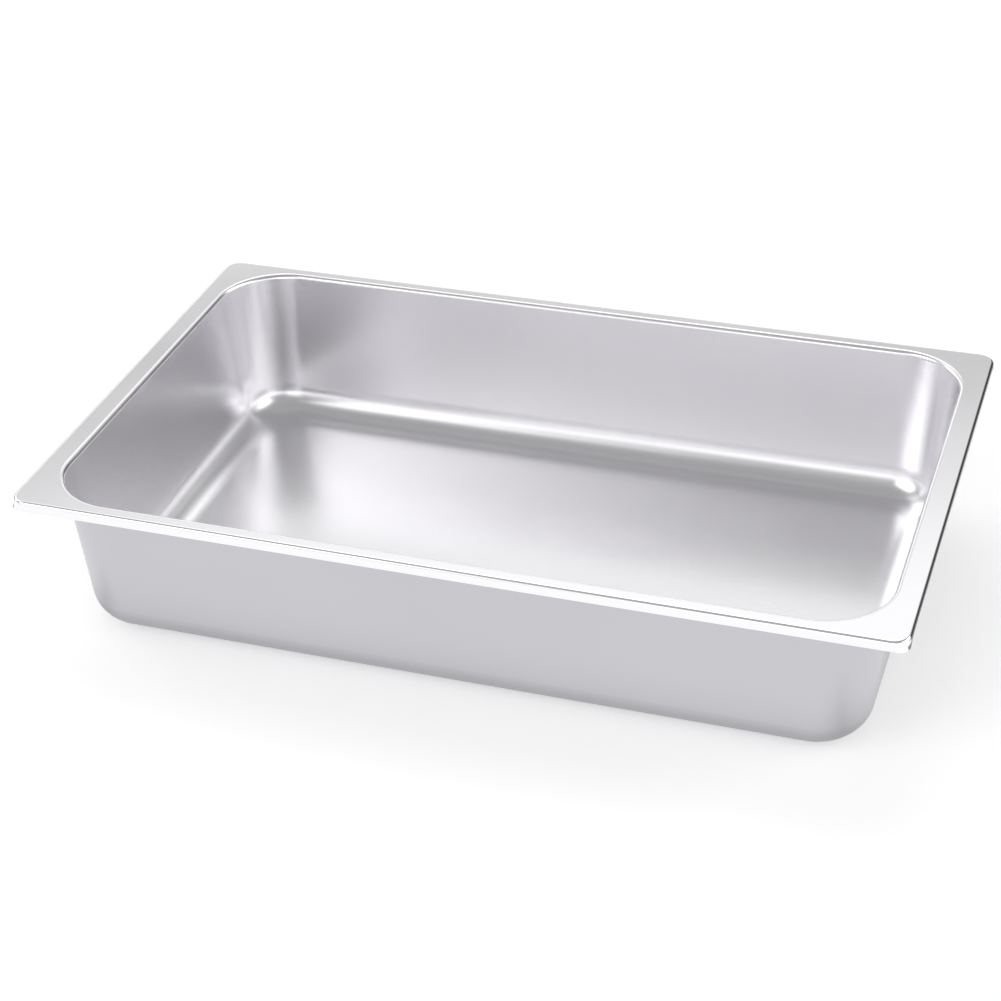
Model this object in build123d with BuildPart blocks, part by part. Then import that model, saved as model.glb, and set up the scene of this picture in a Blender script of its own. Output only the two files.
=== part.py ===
"""Full-size catering pan, drawn in one press stroke from one sheet of stainless steel.

The origin is on the underside of the floor at its middle, +X runs along the length and +Z is up.
All sizes are in millimetres and all angles in degrees.
"""

import os
from math import cos, radians

from build123d import *

# Stainless sheet, the same thickness all over
sheet = 0.7

# Rim: a flat flange all round, with a lip turned down at its edge
rim_length = 530.0
rim_width = 325.0
rim_corner = 10.5  # plan radius of the lip's outer face, next to the flange
lip_height = 6.5  # from the flange's top face to the lip's lower edge
lip_bend = 2.0  # outside radius of the fold from flange to lip
flare_height = 3.5  # the lowest part of the lip, which opens out at the corners
flare_corner = 4.0  # plan radius of the lip's outer face at its lower edge

# Shelf: from the lip's outer face to the inside of the bowl, in the plane of the flange's top face
end_shelf = 15.75
side_shelf = 10.25

# Bowl
pan_depth = 100.0  # from the floor's underside to the flange's top face
mouth_corner = 41.5  # plan radius of the inside, in the plane of the flange's top face
mouth_bend = 3.0  # radius of the rounded edge from the flange down into the walls
wall_draft = 5.7  # lean of the walls, which lets empty pans nest
floor_bend = 20.5  # inside radius from the walls into the floor

mouth_length = rim_length - 2 * end_shelf
mouth_width = rim_width - 2 * side_shelf
wall_across = sheet / cos(radians(wall_draft))  # thickness of a leaning wall, measured level


def rim_outline(corner, inset):
    """The rim's outline with a corner radius, drawn in from the lip's outer face."""
    RectangleRounded(rim_length - 2 * inset, rim_width - 2 * inset, corner - inset)


def mouth_outline(growth):
    """The bowl's outline in the plane of the flange's top face, grown outward from its inside."""
    RectangleRounded(mouth_length + 2 * growth, mouth_width + 2 * growth, mouth_corner + growth)


def level_face(height):
    """The level face of the sheet that lies at a height."""
    return faces().filter_by(Plane.XY).sort_by(lambda face: abs(face.center().Z - height))[0]


os.makedirs("parts", exist_ok=True)

rim_top = Plane.XY.offset(pan_depth)
lip_foot = Plane.XY.offset(pan_depth - lip_height)
flare_top = Plane.XY.offset(pan_depth - lip_height + flare_height)

with BuildPart() as drawn_pan:
    # Flange and the upper part of the lip: a block that is hollowed from below
    with BuildSketch(flare_top):
        rim_outline(rim_corner, 0)
    extrude(amount=lip_height - flare_height)
    with BuildSketch(flare_top):
        rim_outline(rim_corner, sheet)
    extrude(amount=lip_height - flare_height - sheet, mode=Mode.SUBTRACT)

    # Fold from the flange to the lip, rounded over the top and underneath
    fillet(level_face(pan_depth).edges(), radius=lip_bend)
    fillet(level_face(pan_depth - sheet).edges(), radius=lip_bend - sheet)

    # Lower part of the lip, straight along the sides and opening out at the corners
    with BuildSketch(flare_top):
        rim_outline(rim_corner, 0)
    with BuildSketch(lip_foot):
        rim_outline(flare_corner, 0)
    loft(ruled=True)
    with BuildSketch(flare_top):
        rim_outline(rim_corner, sheet)
    with BuildSketch(lip_foot):
        rim_outline(flare_corner, sheet)
    loft(ruled=True, mode=Mode.SUBTRACT)

    # Bowl: a drafted block hung from the rim, with the same block cut out one sheet further in
    with BuildSketch(rim_top):
        mouth_outline(wall_across)
    extrude(amount=-pan_depth, taper=wall_draft)
    with BuildSketch(rim_top):
        mouth_outline(0)
    extrude(amount=sheet - pan_depth, taper=wall_draft, mode=Mode.SUBTRACT)

    # Bend from the walls to the floor, rounded inside and outside
    fillet(level_face(sheet).edges(), radius=floor_bend)
    fillet(level_face(0).edges(), radius=floor_bend + sheet)

    # Bend from the flange to the walls, rounded underneath and over the top
    fillet(level_face(pan_depth - sheet).inner_wires()[0].edges(), radius=mouth_bend - sheet)
    fillet(level_face(pan_depth).inner_wires()[0].edges(), radius=mouth_bend)

drawn_pan.part.label = "drawn_pan"
export_step(drawn_pan.part, "parts/drawn_pan.step")
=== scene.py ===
"""A full-size catering pan: one drawn sheet of satin stainless steel on a pale studio floor."""

import math

import bmesh
import bpy
from mathutils import Matrix, Vector


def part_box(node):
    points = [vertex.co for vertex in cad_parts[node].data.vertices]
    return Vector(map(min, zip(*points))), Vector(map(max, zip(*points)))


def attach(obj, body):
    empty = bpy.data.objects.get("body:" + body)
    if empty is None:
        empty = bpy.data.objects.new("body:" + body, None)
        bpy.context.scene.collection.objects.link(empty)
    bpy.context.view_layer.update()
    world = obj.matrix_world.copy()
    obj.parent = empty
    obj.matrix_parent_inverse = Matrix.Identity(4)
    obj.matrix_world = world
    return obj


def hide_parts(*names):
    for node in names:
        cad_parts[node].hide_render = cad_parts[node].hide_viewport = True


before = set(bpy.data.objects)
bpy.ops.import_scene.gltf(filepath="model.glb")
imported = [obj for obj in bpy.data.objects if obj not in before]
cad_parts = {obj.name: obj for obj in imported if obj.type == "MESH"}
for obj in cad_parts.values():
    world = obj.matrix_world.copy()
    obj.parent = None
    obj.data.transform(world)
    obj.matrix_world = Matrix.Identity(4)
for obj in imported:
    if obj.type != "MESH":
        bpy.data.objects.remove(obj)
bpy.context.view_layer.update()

MM = 0.001

# Sizes of the drawn sheet. Length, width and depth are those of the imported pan.
_, pan_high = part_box("drawn_pan")
half_length = pan_high.x
half_width = pan_high.y
rim_top = pan_high.z
sheet = 0.7 * MM

end_shelf = 15.75 * MM
side_shelf = 10.25 * MM
mouth_corner = 41.5 * MM
mouth_bend = 3.0 * MM
wall_draft = math.radians(5.7)
floor_bend = 20.5 * MM

rim_corner = 10.5 * MM
lip_bend = 2.0 * MM
lip_height = 6.5 * MM
flare_height = 4.5 * MM
flare_corner = 6.5 * MM
flare_ease = 1.6
deburr = 0.32 * MM
deburr_steps = 3
sharp_edge = math.radians(60)

# How finely the sheet is divided.
corner_steps = 28
bend_steps = 10
wall_steps = 6
flare_steps = 6
long_side_steps = 26
short_side_steps = 16
floor_guards = 4
side_shortest = 0.1  # metres; only the edges along a whole side are longer
stacking = 5.0 * MM
guard = 0.35 * MM  # a ring this close to each bend keeps the flats flat when shaded

# The well's corners all turn about these four upright lines.
well_corner_x = half_length - end_shelf - mouth_corner
well_corner_y = half_width - side_shelf - mouth_corner


# ---------------------------------------------------------------- the pan


def add_outline(mesh, half_x, half_y, corner, height):
    """One level rounded rectangle of bare edges. Gives back its vertices and edges."""
    placed = Matrix.Translation((0, 0, height)) @ Matrix.Diagonal((2 * half_x, 2 * half_y, 1, 1))
    made = bmesh.ops.create_grid(mesh, x_segments=1, y_segments=1, size=0.5, matrix=placed)
    bmesh.ops.bevel(
        mesh,
        geom=made["verts"],
        offset=corner,
        segments=corner_steps,
        profile=0.5,
        affect="VERTICES",
        material=-1,
    )
    mesh.faces.ensure_lookup_table()
    panel = mesh.faces[-1]
    verts, edges = list(panel.verts), list(panel.edges)
    bmesh.ops.delete(mesh, geom=[panel], context="FACES_ONLY")
    return verts, edges


def well_profile():
    """(corner radius, height) of each ring of the well's inside, from the floor to the flange."""
    rings = []
    floor_top = sheet
    slope = math.tan(wall_draft)
    lean = math.pi / 2 - wall_draft
    # The bend's centre stands one radius above the floor and one radius in from the wall.
    bend_height = floor_top + floor_bend
    wall_at_bend = mouth_corner - (rim_top - bend_height) * slope
    bend_centre = wall_at_bend - floor_bend / math.cos(wall_draft)
    rings.append((bend_centre - floor_guards * guard, floor_top))
    for step in range(bend_steps + 1):
        turn = lean * step / bend_steps
        rings.append((
            bend_centre + floor_bend * math.sin(turn),
            bend_height - floor_bend * math.cos(turn),
        ))
    # The mouth bend's centre is one radius below the flange's top and one radius outside the wall.
    top_height = rim_top - mouth_bend
    wall_at_top = mouth_corner - mouth_bend * slope
    top_centre = wall_at_top + mouth_bend / math.cos(wall_draft)
    wall_low = rings[-1]
    wall_high = (
        top_centre - mouth_bend * math.cos(wall_draft),
        top_height + mouth_bend * math.sin(wall_draft),
    )
    run = wall_high[1] - wall_low[1]
    stops = [guard / run] + [step / wall_steps for step in range(1, wall_steps)] + [1 - guard / run]
    for part in stops:
        rings.append(tuple(a + (b - a) * part for a, b in zip(wall_low, wall_high)))
    for step in range(bend_steps + 1):
        turn = wall_draft + lean * step / bend_steps
        rings.append((
            top_centre - mouth_bend * math.cos(turn),
            top_height + mouth_bend * math.sin(turn),
        ))
    rings.append((top_centre + guard, rim_top))
    return rings


def lip_profile():
    """(inset from the rim, corner radius, height) of each ring of the flange's edge and the lip."""
    rings = [(lip_bend + guard, rim_corner - lip_bend - guard, rim_top)]
    for step in range(bend_steps + 1):
        turn = math.pi / 2 * step / bend_steps
        inset = lip_bend * (1 - math.sin(turn))
        rings.append((inset, rim_corner - inset, rim_top - lip_bend * (1 - math.cos(turn))))
    flare_top = rim_top - lip_height + flare_height
    for step in range(1, flare_steps + 1):
        part = step / flare_steps
        corner = rim_corner + (flare_corner - rim_corner) * part**flare_ease
        rings.append((0, corner, flare_top - flare_height * part))
    return rings


def side_edges(mesh, axis):
    """The straight edges that run the whole length of a side, along axis 0 or 1."""
    return [
        edge for edge in mesh.edges
        if abs(edge.verts[0].co[axis] - edge.verts[1].co[axis]) > side_shortest
    ]


def is_front_or_back(edge):
    """Whether an edge of the floor's outline is on a long side, up to the middle of a corner."""
    middle = (edge.verts[0].co + edge.verts[1].co) / 2
    return abs(middle.y) - well_corner_y > abs(middle.x) - well_corner_x


def polish_at(height):
    """The buffing of the rim stops where the mouth bend begins."""
    return float(height > rim_top - guard / 10)


def build_pan():
    """The whole pan as one closed sheet: rings bridged from floor to lip, then thickened."""
    rings = [
        (well_corner_x + corner, well_corner_y + corner, corner, height, polish_at(height))
        for corner, height in well_profile()
    ] + [
        (half_length - inset, half_width - inset, corner, height, 1.0)
        for inset, corner, height in lip_profile()
    ]
    mesh = bmesh.new()
    polish = mesh.verts.layers.float.new("polish")
    outer_side = mesh.verts.layers.float.new("outer_side")
    # The rings are bridged one above the next, and only then brought to their heights: two
    # outlines at one height would be bridged with a twist.
    outlines = [
        add_outline(mesh, half_x, half_y, corner, order * stacking)
        for order, (half_x, half_y, corner, _, _) in enumerate(rings)
    ]
    for (_, inner), (_, outer) in zip(outlines, outlines[1:]):
        bmesh.ops.bridge_loops(mesh, edges=inner + outer)
    for order, ((verts, _), (_, _, _, height, polished)) in enumerate(zip(outlines, rings)):
        bmesh.ops.translate(mesh, verts=verts, vec=(0, 0, height - order * stacking))
        for vert in verts:
            vert[polish] = polished
    for axis, steps in ((0, long_side_steps), (1, short_side_steps)):
        bmesh.ops.subdivide_edges(
            mesh, edges=side_edges(mesh, axis), cuts=steps - 1, use_grid_fill=True
        )
    floor_edge = [
        edge for edge in mesh.edges if edge.is_boundary and edge.verts[0].co.z < rim_top / 2
    ]
    bmesh.ops.grid_fill(mesh, edges=[edge for edge in floor_edge if is_front_or_back(edge)])
    bmesh.ops.recalc_face_normals(mesh, faces=mesh.faces[:])
    if sum(face.normal.z * face.calc_area() for face in mesh.faces) < 0:
        bmesh.ops.reverse_faces(mesh, faces=mesh.faces[:])
    back = bmesh.ops.solidify(mesh, geom=mesh.faces[:], thickness=sheet)
    for part in back["geom"]:
        if isinstance(part, bmesh.types.BMVert):
            part[outer_side] = 1.0
    # The cut edge of the sheet at the lip's foot is broken a little, as a deburred edge is.
    cut_edges = [edge for edge in mesh.edges if edge.calc_face_angle() > sharp_edge]
    bmesh.ops.bevel(
        mesh,
        geom=cut_edges,
        offset=deburr,
        segments=deburr_steps,
        profile=0.5,
        affect="EDGES",
        material=-1,
    )
    for face in mesh.faces:
        face.smooth = True
    return mesh


def new_piece(name, mesh, material):
    """Turns a bmesh into an object in the scene."""
    data = bpy.data.meshes.new(name)
    mesh.to_mesh(data)
    mesh.free()
    data.materials.append(material)
    piece = bpy.data.objects.new(name, data)
    bpy.context.scene.collection.objects.link(piece)
    return piece


def finish_piece(name, mesh, material):
    """A piece of the pan, which rides on the frame's one body."""
    piece = new_piece(name, mesh, material)
    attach(piece, "root")
    return piece


# ---------------------------------------------------------------- finishes

steel_dark = (0.55, 0.547, 0.58, 1)
steel_bright = (0.985, 0.974, 0.99, 1)
inner_tone = 0.70
# Buffed rim, partly a painted sheen: its colour is made brighter.
polish_and_painted_sheen_tone = 0.25
# Painted shade: the outside of the sheet is coloured darker than the inside.
outer_painted_shade = -0.61
cloud_tone = 0.08
speckle_tone = 0.01

satin_rough = 0.25
polish_rough = 0.12
outer_rough = 0.06
cloud_rough = 0.07
wipe_rough = 0.05
grain_rough = 0.03

cloud_waves = 9.0  # waves per metre, as are the next three
wipe_waves = 26.0
grain_waves = 900.0
speckle_waves = 1400.0
wipe_stretch = (0.35, 1, 1)
grain_stretch = (0.07, 1, 1)
grain_share = 0.6
polish_relief = 0.2
relief_strength = 0.02
relief_depth = 0.02 * MM

paper_white = (0.93, 0.93, 0.93, 1)
paper_rough = 0.8
paper_glow = 0.3

# The reflection card's glow: a painted reflection, white in front and grey behind and past the
# ends.
painted_reflection_white = 1.02
painted_reflection_grey = 0.22
card_blend = 15 * MM
grey_behind = 330 * MM
grey_beside = 290 * MM
grey_front = -30 * MM
# Painted shadow: the card's glow is dimmed round the pan's foot, as far as this reach.
foot_inset = 40 * MM
painted_foot_shadow = 0.55
painted_foot_shadow_reach = 60 * MM


def new_material(name):
    """A material, its nodes and its surface."""
    material = bpy.data.materials.new(name)
    material.use_nodes = True
    return material, material.node_tree, material.node_tree.nodes["Principled BSDF"]


def add_node(tree, kind, **settings):
    """A node with its own settings already made."""
    node = tree.nodes.new(kind)
    for name, value in settings.items():
        setattr(node, name, value)
    return node


def feed(tree, node, socket, value):
    """Gives an input a number, a colour or another node's output."""
    if isinstance(value, bpy.types.NodeSocket):
        tree.links.new(value, node.inputs[socket])
    else:
        node.inputs[socket].default_value = value


def compute(tree, operation, first, second=0.0, third=0.0):
    """One step of arithmetic on numbers or outputs."""
    node = add_node(tree, "ShaderNodeMath", operation=operation)
    for socket, value in enumerate((first, second, third)):
        feed(tree, node, socket, value)
    return node.outputs[0]


def ramp(tree, value, start, end):
    """Nought before start and one after end, with a smooth run between them."""
    node = add_node(tree, "ShaderNodeMapRange", interpolation_type="SMOOTHSTEP")
    for socket, number in ((0, value), (1, start), (2, end), (3, 0.0), (4, 1.0)):
        feed(tree, node, socket, number)
    return node.outputs[0]


def noise(tree, place, scale, stretch=(1, 1, 1), detail=3.0, roughness=0.5):
    """A noise on Object coordinates, in waves per metre, centred on nought."""
    mapping = add_node(tree, "ShaderNodeMapping")
    mapping.inputs["Scale"].default_value = stretch
    tree.links.new(place, mapping.inputs["Vector"])
    texture = add_node(tree, "ShaderNodeTexNoise")
    texture.inputs["Scale"].default_value = scale
    texture.inputs["Detail"].default_value = detail
    texture.inputs["Roughness"].default_value = roughness
    tree.links.new(mapping.outputs["Vector"], texture.inputs["Vector"])
    return compute(tree, "SUBTRACT", texture.outputs["Fac"], 0.5)


def attribute(tree, name):
    return add_node(tree, "ShaderNodeAttribute", attribute_name=name).outputs["Fac"]


def satin_steel():
    """Satin drawn steel: cloudy where the press stretched it, finely grained, buffed on the rim;
    its outside is a painted shade, darker and greyer, and its rim has a painted sheen.
    """
    material, tree, surface = new_material("satin_stainless")
    place = add_node(tree, "ShaderNodeTexCoord").outputs["Object"]
    polish = attribute(tree, "polish")
    outer = attribute(tree, "outer_side")
    clouds = noise(tree, place, cloud_waves, detail=2.0)
    wipes = noise(tree, place, wipe_waves, stretch=wipe_stretch, detail=3.0)
    grain = noise(tree, place, grain_waves, stretch=grain_stretch, detail=2.0)
    speckle = noise(tree, place, speckle_waves, detail=1.0)

    dull = compute(tree, "SUBTRACT", 1.0, polish)
    dull_and_painted_dark_outside = compute(tree, "MULTIPLY", outer, dull)
    rough = compute(tree, "MULTIPLY_ADD", dull, satin_rough - polish_rough, polish_rough)
    rough = compute(tree, "MULTIPLY_ADD", dull_and_painted_dark_outside, outer_rough, rough)
    rough = compute(tree, "MULTIPLY_ADD", clouds, cloud_rough, rough)
    rough = compute(tree, "MULTIPLY_ADD", wipes, wipe_rough, rough)
    rough = compute(tree, "MULTIPLY_ADD", grain, grain_rough, rough)
    feed(tree, surface, "Roughness", rough)

    # Colour: darker and greyer over the outside, a painted shade; brightest on the buffed rim,
    # partly a painted sheen.
    tone = compute(tree, "MULTIPLY_ADD", speckle, speckle_tone, inner_tone)
    tone = compute(tree, "MULTIPLY_ADD", clouds, cloud_tone, tone)
    # Painted sheen: the buffed rim is coloured brighter.
    tone = compute(tree, "MULTIPLY_ADD", polish, polish_and_painted_sheen_tone, tone)
    # Painted shade: the outside is coloured darker.
    tone = compute(tree, "MULTIPLY_ADD", dull_and_painted_dark_outside, outer_painted_shade, tone)
    colours = add_node(tree, "ShaderNodeMix", data_type="RGBA")
    for socket, value in ((0, tone), (6, steel_dark), (7, steel_bright)):
        feed(tree, colours, socket, value)
    feed(tree, surface, "Base Color", colours.outputs[2])

    relief = compute(tree, "MULTIPLY", speckle, 1 - grain_share)
    relief = compute(tree, "MULTIPLY_ADD", grain, grain_share, relief)
    kept_relief = compute(tree, "MULTIPLY_ADD", dull, 1 - polish_relief, polish_relief)
    relief = compute(tree, "MULTIPLY", relief, kept_relief)
    bump = add_node(tree, "ShaderNodeBump")
    feed(tree, bump, "Strength", relief_strength)
    feed(tree, bump, "Distance", relief_depth)
    feed(tree, bump, "Height", relief)
    feed(tree, surface, "Normal", bump.outputs["Normal"])
    surface.inputs["Metallic"].default_value = 1.0
    return material


def floor_paper():
    """Matt pale paper that glows a little, so that it stays pale round the pan's foot."""
    material, _, surface = new_material("studio_paper")
    surface.inputs["Base Color"].default_value = paper_white
    surface.inputs["Roughness"].default_value = paper_rough
    surface.inputs["Emission Color"].default_value = (1, 1, 1, 1)
    surface.inputs["Emission Strength"].default_value = paper_glow
    return material


def glowing_paper(name, glow):
    """Paper that only glows: white, with no colour or sheen of its own."""
    material, tree, surface = new_material(name)
    surface.inputs["Base Color"].default_value = (0, 0, 0, 1)
    surface.inputs["Specular IOR Level"].default_value = 0.0
    surface.inputs["Emission Color"].default_value = (1, 1, 1, 1)
    feed(tree, surface, "Emission Strength", glow(tree))
    return material


def painted_reflection_glow(tree):
    """Painted reflection: glows white in front of the pan, grey past its ends and far behind it,
    and dim at its foot as a painted shadow.
    """
    place = add_node(tree, "ShaderNodeTexCoord").outputs["Object"]
    parts = add_node(tree, "ShaderNodeSeparateXYZ")
    feed(tree, parts, 0, place)
    deep = parts.outputs["Y"]
    sideways = compute(tree, "ABSOLUTE", parts.outputs["X"])
    far_behind = ramp(tree, deep, grey_behind - card_blend, grey_behind + card_blend)
    past_end = ramp(tree, sideways, grey_beside - card_blend, grey_beside + card_blend)
    not_in_front = ramp(tree, deep, grey_front - card_blend, grey_front + card_blend)
    grey = compute(tree, "MAXIMUM", far_behind, compute(tree, "MULTIPLY", past_end, not_in_front))
    glow = compute(tree, "MULTIPLY_ADD", grey, painted_reflection_grey - painted_reflection_white, painted_reflection_white)
    # Painted shadow: the glow is dimmed near the pan's foot.
    beyond_end = compute(tree, "SUBTRACT", sideways, half_length - foot_inset)
    beyond_side = compute(
        tree, "SUBTRACT", compute(tree, "ABSOLUTE", deep), half_width - foot_inset
    )
    clear = ramp(tree, compute(tree, "MAXIMUM", beyond_end, beyond_side), 0.0, painted_foot_shadow_reach)
    foot = compute(tree, "MULTIPLY_ADD", clear, 1 - painted_foot_shadow, painted_foot_shadow)
    return compute(tree, "MULTIPLY", glow, foot)


# ---------------------------------------------------------------- the pan, placed

pan = finish_piece("pan_sheet", build_pan(), satin_steel())
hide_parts("drawn_pan")

# ---------------------------------------------------------------- studio

studio_reach = 3.0
backdrop_radius = 0.98 * studio_reach
backdrop_sides = 96
card_drop = 1 * MM  # the card lies just under the floor


def stage_piece(name, mesh, material, unseen_by):
    """A piece of the studio, kept out of some kinds of ray."""
    piece = new_piece(name, mesh, material)
    for ray in unseen_by:
        setattr(piece, "visible_" + ray, False)
    return piece


def flat_sheet(height):
    """A square sheet as wide as the studio, at a height."""
    mesh = bmesh.new()
    placed = Matrix.Translation((0, 0, height))
    bmesh.ops.create_grid(mesh, x_segments=2, y_segments=2, size=studio_reach, matrix=placed)
    return mesh


def round_wall():
    """An upright wall all round the studio."""
    mesh = bmesh.new()
    bmesh.ops.create_circle(mesh, segments=backdrop_sides, radius=backdrop_radius)
    raised = bmesh.ops.extrude_edge_only(mesh, edges=mesh.edges[:])
    top = [part for part in raised["geom"] if isinstance(part, bmesh.types.BMVert)]
    bmesh.ops.translate(mesh, verts=top, vec=(0, 0, studio_reach))
    return mesh


stage_piece("studio_floor", flat_sheet(0.0), floor_paper(), ["glossy"])
# A card under and round the pan, which only its reflections see. Its glow is a painted reflection,
# with a painted shadow at the pan's foot.
painted_reflection_paper = glowing_paper("painted_reflection_paper", painted_reflection_glow)
stage_piece("reflection_card", flat_sheet(-card_drop), painted_reflection_paper, ["camera", "diffuse", "shadow"])
# A plain white wall behind the floor. It is only a backdrop: the soft panels light the steel
# through it.
backdrop_paper = glowing_paper("backdrop_paper", lambda tree: 1.0)
stage_piece("studio_backdrop", round_wall(), backdrop_paper, ["diffuse", "glossy", "shadow"])

# Soft panels round the studio, as seen from the pan, in degrees:
# (bearing from +X, half width, elevation, half height, strength).
open_air = 0.40
horizon_shade = -0.6
shade_top = 40
panel_edge = 12
soft_panels = {
    "right_screen": (14, 33, 34, 7, 2.15),
    "back_left_screen": (160, 13, 34, 20, 0.9),
    "low_back_strip": (134, 45, 16, 8, 1.6),
    "mid_back_strip": (101, 26, 35, 4, 0.8),
    "high_back_screen": (106, 25, 58, 16, 1.25),
    "front_left_screen": (222, 19, 36, 12, 2.2),
    "front_right_wall": (329, 65, 5, 17, 1.65),
    "front_wall": (250, 39, 12, 20, 0.92),
    "low_left_strip": (180, 26, 8, 12, 0.6),
}


def sine(degrees):
    """The rise of a direction at an elevation."""
    return math.sin(math.radians(max(-90, min(90, degrees))))


def cosine(degrees):
    """How far two bearings agree when they are so many degrees apart."""
    return math.cos(math.radians(max(0, min(180, degrees))))


def studio_air():
    """The light of the room: an even glow, dimmer towards the floor, and the soft panels."""
    world = bpy.data.worlds.new("studio_air")
    world.use_nodes = True
    tree = world.node_tree
    way = add_node(tree, "ShaderNodeTexCoord").outputs["Generated"]
    parts = add_node(tree, "ShaderNodeSeparateXYZ")
    tree.links.new(way, parts.inputs[0])
    level = add_node(tree, "ShaderNodeVectorMath", operation="MULTIPLY")
    tree.links.new(way, level.inputs[0])
    level.inputs[1].default_value = (1, 1, 0)
    bearing = add_node(tree, "ShaderNodeVectorMath", operation="NORMALIZE")
    tree.links.new(level.outputs[0], bearing.inputs[0])
    rise = parts.outputs["Z"]
    lowness = ramp(tree, rise, sine(shade_top), 0.0)
    light = compute(tree, "MULTIPLY_ADD", lowness, horizon_shade, open_air)
    for turn, half_turn, middle, half_rise, strength in soft_panels.values():
        facing = add_node(tree, "ShaderNodeVectorMath", operation="DOT_PRODUCT")
        tree.links.new(bearing.outputs[0], facing.inputs[0])
        turn = math.radians(turn)
        facing.inputs[1].default_value = (math.cos(turn), math.sin(turn), 0)
        outer_edge, inner_edge = cosine(half_turn + panel_edge), cosine(half_turn - panel_edge)
        across = ramp(tree, facing.outputs["Value"], outer_edge, inner_edge)
        low, high = middle - half_rise, middle + half_rise
        edge = panel_edge / 2
        above = ramp(tree, rise, sine(low - edge), sine(low + edge))
        below = ramp(tree, rise, sine(high + edge), sine(high - edge))
        window = compute(tree, "MULTIPLY", across, compute(tree, "MULTIPLY", above, below))
        light = compute(tree, "MULTIPLY_ADD", window, strength, light)
    light = compute(tree, "MAXIMUM", light, 0.0)
    tree.nodes["Background"].inputs["Color"].default_value = (1, 1, 1, 1)
    tree.links.new(light, tree.nodes["Background"].inputs["Strength"])
    return world


bpy.context.scene.world = studio_air()

# ---------------------------------------------------------------- camera

camera_azimuth = math.radians(19.17)
camera_elevation = math.radians(32.40)
camera_roll = math.radians(-2.0)
camera_distance = 1408.0 * MM
camera_lens = 82.84
camera_sensor = 36.0
camera_right_shift = -12.74 * MM
camera_up_shift = -46.22 * MM

back = Vector((
    math.sin(camera_azimuth) * math.cos(camera_elevation),
    -math.cos(camera_azimuth) * math.cos(camera_elevation),
    math.sin(camera_elevation),
))
level = Vector((0, 0, 1)).cross(back).normalized()
upright = back.cross(level)
right = math.cos(camera_roll) * level + math.sin(camera_roll) * upright
up = math.cos(camera_roll) * upright - math.sin(camera_roll) * level
stand = (
    Vector((0, 0, rim_top))
    + right * camera_right_shift
    + up * camera_up_shift
    + back * camera_distance
)

camera_data = bpy.data.cameras.new("studio_camera")
camera_data.lens = camera_lens
camera_data.sensor_width = camera_sensor
camera_data.clip_start = 0.05
camera_data.clip_end = 50.0
studio_camera = bpy.data.objects.new("studio_camera", camera_data)
facing = Matrix((right, up, back)).transposed().to_4x4()
studio_camera.matrix_world = Matrix.Translation(stand) @ facing
bpy.context.scene.collection.objects.link(studio_camera)
bpy.context.scene.camera = studio_camera
bpy.context.scene.view_settings.view_transform = "Standard"
